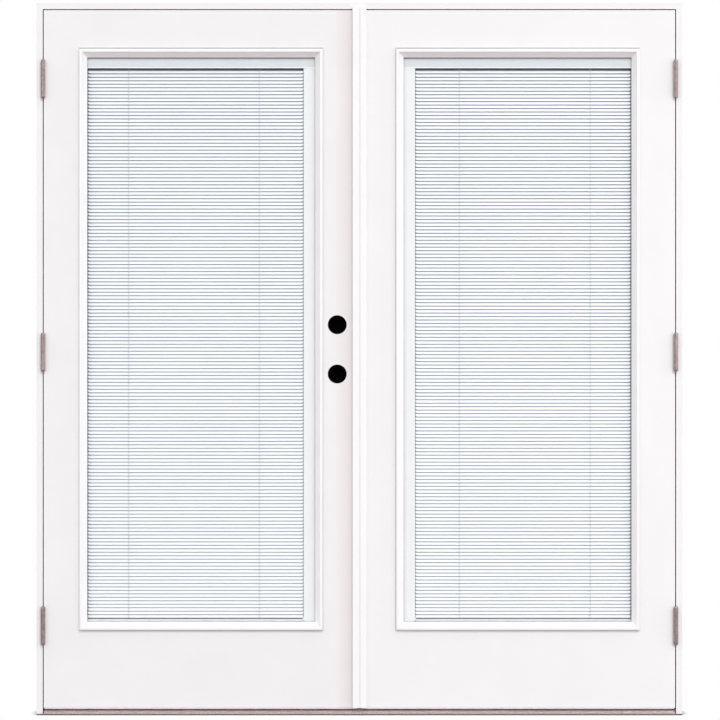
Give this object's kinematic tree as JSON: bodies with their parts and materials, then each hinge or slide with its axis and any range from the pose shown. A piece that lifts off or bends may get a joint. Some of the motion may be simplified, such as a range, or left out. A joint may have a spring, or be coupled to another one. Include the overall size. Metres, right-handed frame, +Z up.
{
  "type": "french doors",
  "caption": "Outswing double patio door in its frame, each door glazed with a blind between the panes, hinged at the jambs.",
  "frame": {"origin": "middle of the frame underside, in the floor plane", "axes": "+X to the right seen from outside, -Y outside, where the doors open to, +Y the room side, +Z up"},
  "size_m": [1.829, 0.1296, 2.016],
  "materials": {
    "frame_paint": "satin white paint",
    "sill_aluminium": "satin mill finish, slightly warm",
    "dark_vinyl": "matte",
    "white_foam_seal": "matte foam in a film",
    "satin_nickel": "satin",
    "stile_wood": "planed, primed edge",
    "foam_core": "closed-cell foam",
    "door_skin": "smooth white with a faint grain",
    "lite_frame_plastic": "satin moulded white",
    "zinc_screw": "zinc plated",
    "clear_glass": "clear, faint green",
    "spacer_metal": "satin",
    "blind_housing": "matte pale grey white",
    "blind_slat": "satin white enamel",
    "blind_cord": "braided cord",
    "slider_plastic": "satin white",
    "astragal_paint": "satin white paint"
  },
  "bodies": {
    "frame": {"head_jamb": "frame_paint", "left_jamb": "frame_paint", "right_jamb": "frame_paint", "threshold": "sill_aluminium", "threshold_seal": "dark_vinyl", "weatherstrips": "white_foam_seal", "jamb_hinge_leaves": "satin_nickel", "jamb_hinge_screws": "satin_nickel", "hinge_pins": "satin_nickel", "bolt_strikes": "satin_nickel"},
    "left_door": {"left_hinge_stile": "stile_wood", "left_lock_stile": "stile_wood", "left_lock_block": "stile_wood", "left_rails": "stile_wood", "left_core": "foam_core", "left_outer_skin": "door_skin", "left_inner_skin": "door_skin", "left_outer_lite_frame": "lite_frame_plastic", "left_inner_lite_frame": "lite_frame_plastic", "left_lite_screws": "zinc_screw", "left_outer_pane": "clear_glass", "left_inner_pane": "clear_glass", "left_spacer": "spacer_metal", "left_head_rail": "blind_housing", "left_side_channel": "blind_housing", "left_slats": "blind_slat", "left_ladders": "blind_cord", "left_hinge_leaves": "satin_nickel", "left_hinge_screws": "satin_nickel", "left_sweep": "dark_vinyl", "left_astragal": "astragal_paint"},
    "right_door": {"right_hinge_stile": "stile_wood", "right_lock_stile": "stile_wood", "right_rails": "stile_wood", "right_core": "foam_core", "right_outer_skin": "door_skin", "right_inner_skin": "door_skin", "right_outer_lite_frame": "lite_frame_plastic", "right_inner_lite_frame": "lite_frame_plastic", "right_lite_screws": "zinc_screw", "right_outer_pane": "clear_glass", "right_inner_pane": "clear_glass", "right_spacer": "spacer_metal", "right_head_rail": "blind_housing", "right_side_channel": "blind_housing", "right_slats": "blind_slat", "right_ladders": "blind_cord", "right_hinge_leaves": "satin_nickel", "right_hinge_screws": "satin_nickel", "right_sweep": "dark_vinyl", "right_astragal": "astragal_paint", "meeting_seal": "white_foam_seal"},
    "left_blind_rail": {"left_bottom_rail": "blind_slat"},
    "left_lift_slider": {"left_lift_slider": "slider_plastic"},
    "left_tilt_slider": {"left_tilt_slider": "slider_plastic"},
    "right_blind_rail": {"right_bottom_rail": "blind_slat"},
    "right_lift_slider": {"right_lift_slider": "slider_plastic"},
    "right_tilt_slider": {"right_tilt_slider": "slider_plastic"},
    "top_bolt": {"top_bolt": "satin_nickel"},
    "bottom_bolt": {"bottom_bolt": "satin_nickel"}
  },
  "joints": [
    {"name": "left_door_swing", "type": "hinge", "parent": "frame", "child": "left_door", "pos_m": [-0.8955, -0.0653, 1.008], "axis": [0, 0, -1], "range_deg": [0, 175]},
    {"name": "right_door_swing", "type": "hinge", "parent": "frame", "child": "right_door", "pos_m": [0.8955, -0.0653, 1.008], "axis": [0, 0, 1], "range_deg": [0, 175]},
    {"name": "left_blind_lift", "type": "slide", "parent": "left_door", "child": "left_blind_rail", "axis": [0, 0, 1], "range_m": [0, 1.4], "deforming": ["left_slats", "left_ladders"]},
    {"name": "left_lift_slide", "type": "slide", "parent": "left_door", "child": "left_lift_slider", "axis": [0, 0, 1], "range_m": [-1.4, 0]},
    {"name": "left_tilt_slide", "type": "slide", "parent": "left_door", "child": "left_tilt_slider", "axis": [0, 0, 1], "range_m": [-0.06, 0]},
    {"name": "right_blind_lift", "type": "slide", "parent": "right_door", "child": "right_blind_rail", "axis": [0, 0, 1], "range_m": [0, 1.4], "deforming": ["right_slats", "right_ladders"]},
    {"name": "right_lift_slide", "type": "slide", "parent": "right_door", "child": "right_lift_slider", "axis": [0, 0, 1], "range_m": [-1.4, 0]},
    {"name": "right_tilt_slide", "type": "slide", "parent": "right_door", "child": "right_tilt_slider", "axis": [0, 0, 1], "range_m": [-0.06, 0]},
    {"name": "top_bolt_slide", "type": "slide", "parent": "right_door", "child": "top_bolt", "axis": [0, 0, 1], "range_m": [0, 0.016]},
    {"name": "bottom_bolt_slide", "type": "slide", "parent": "right_door", "child": "bottom_bolt", "axis": [0, 0, -1], "range_m": [0, 0.016]}
  ],
  "couplings": [
    {"joint": "left_lift_slide", "follows": "left_blind_lift", "ratio": -1},
    {"joint": "right_lift_slide", "follows": "right_blind_lift", "ratio": -1}
  ]
}
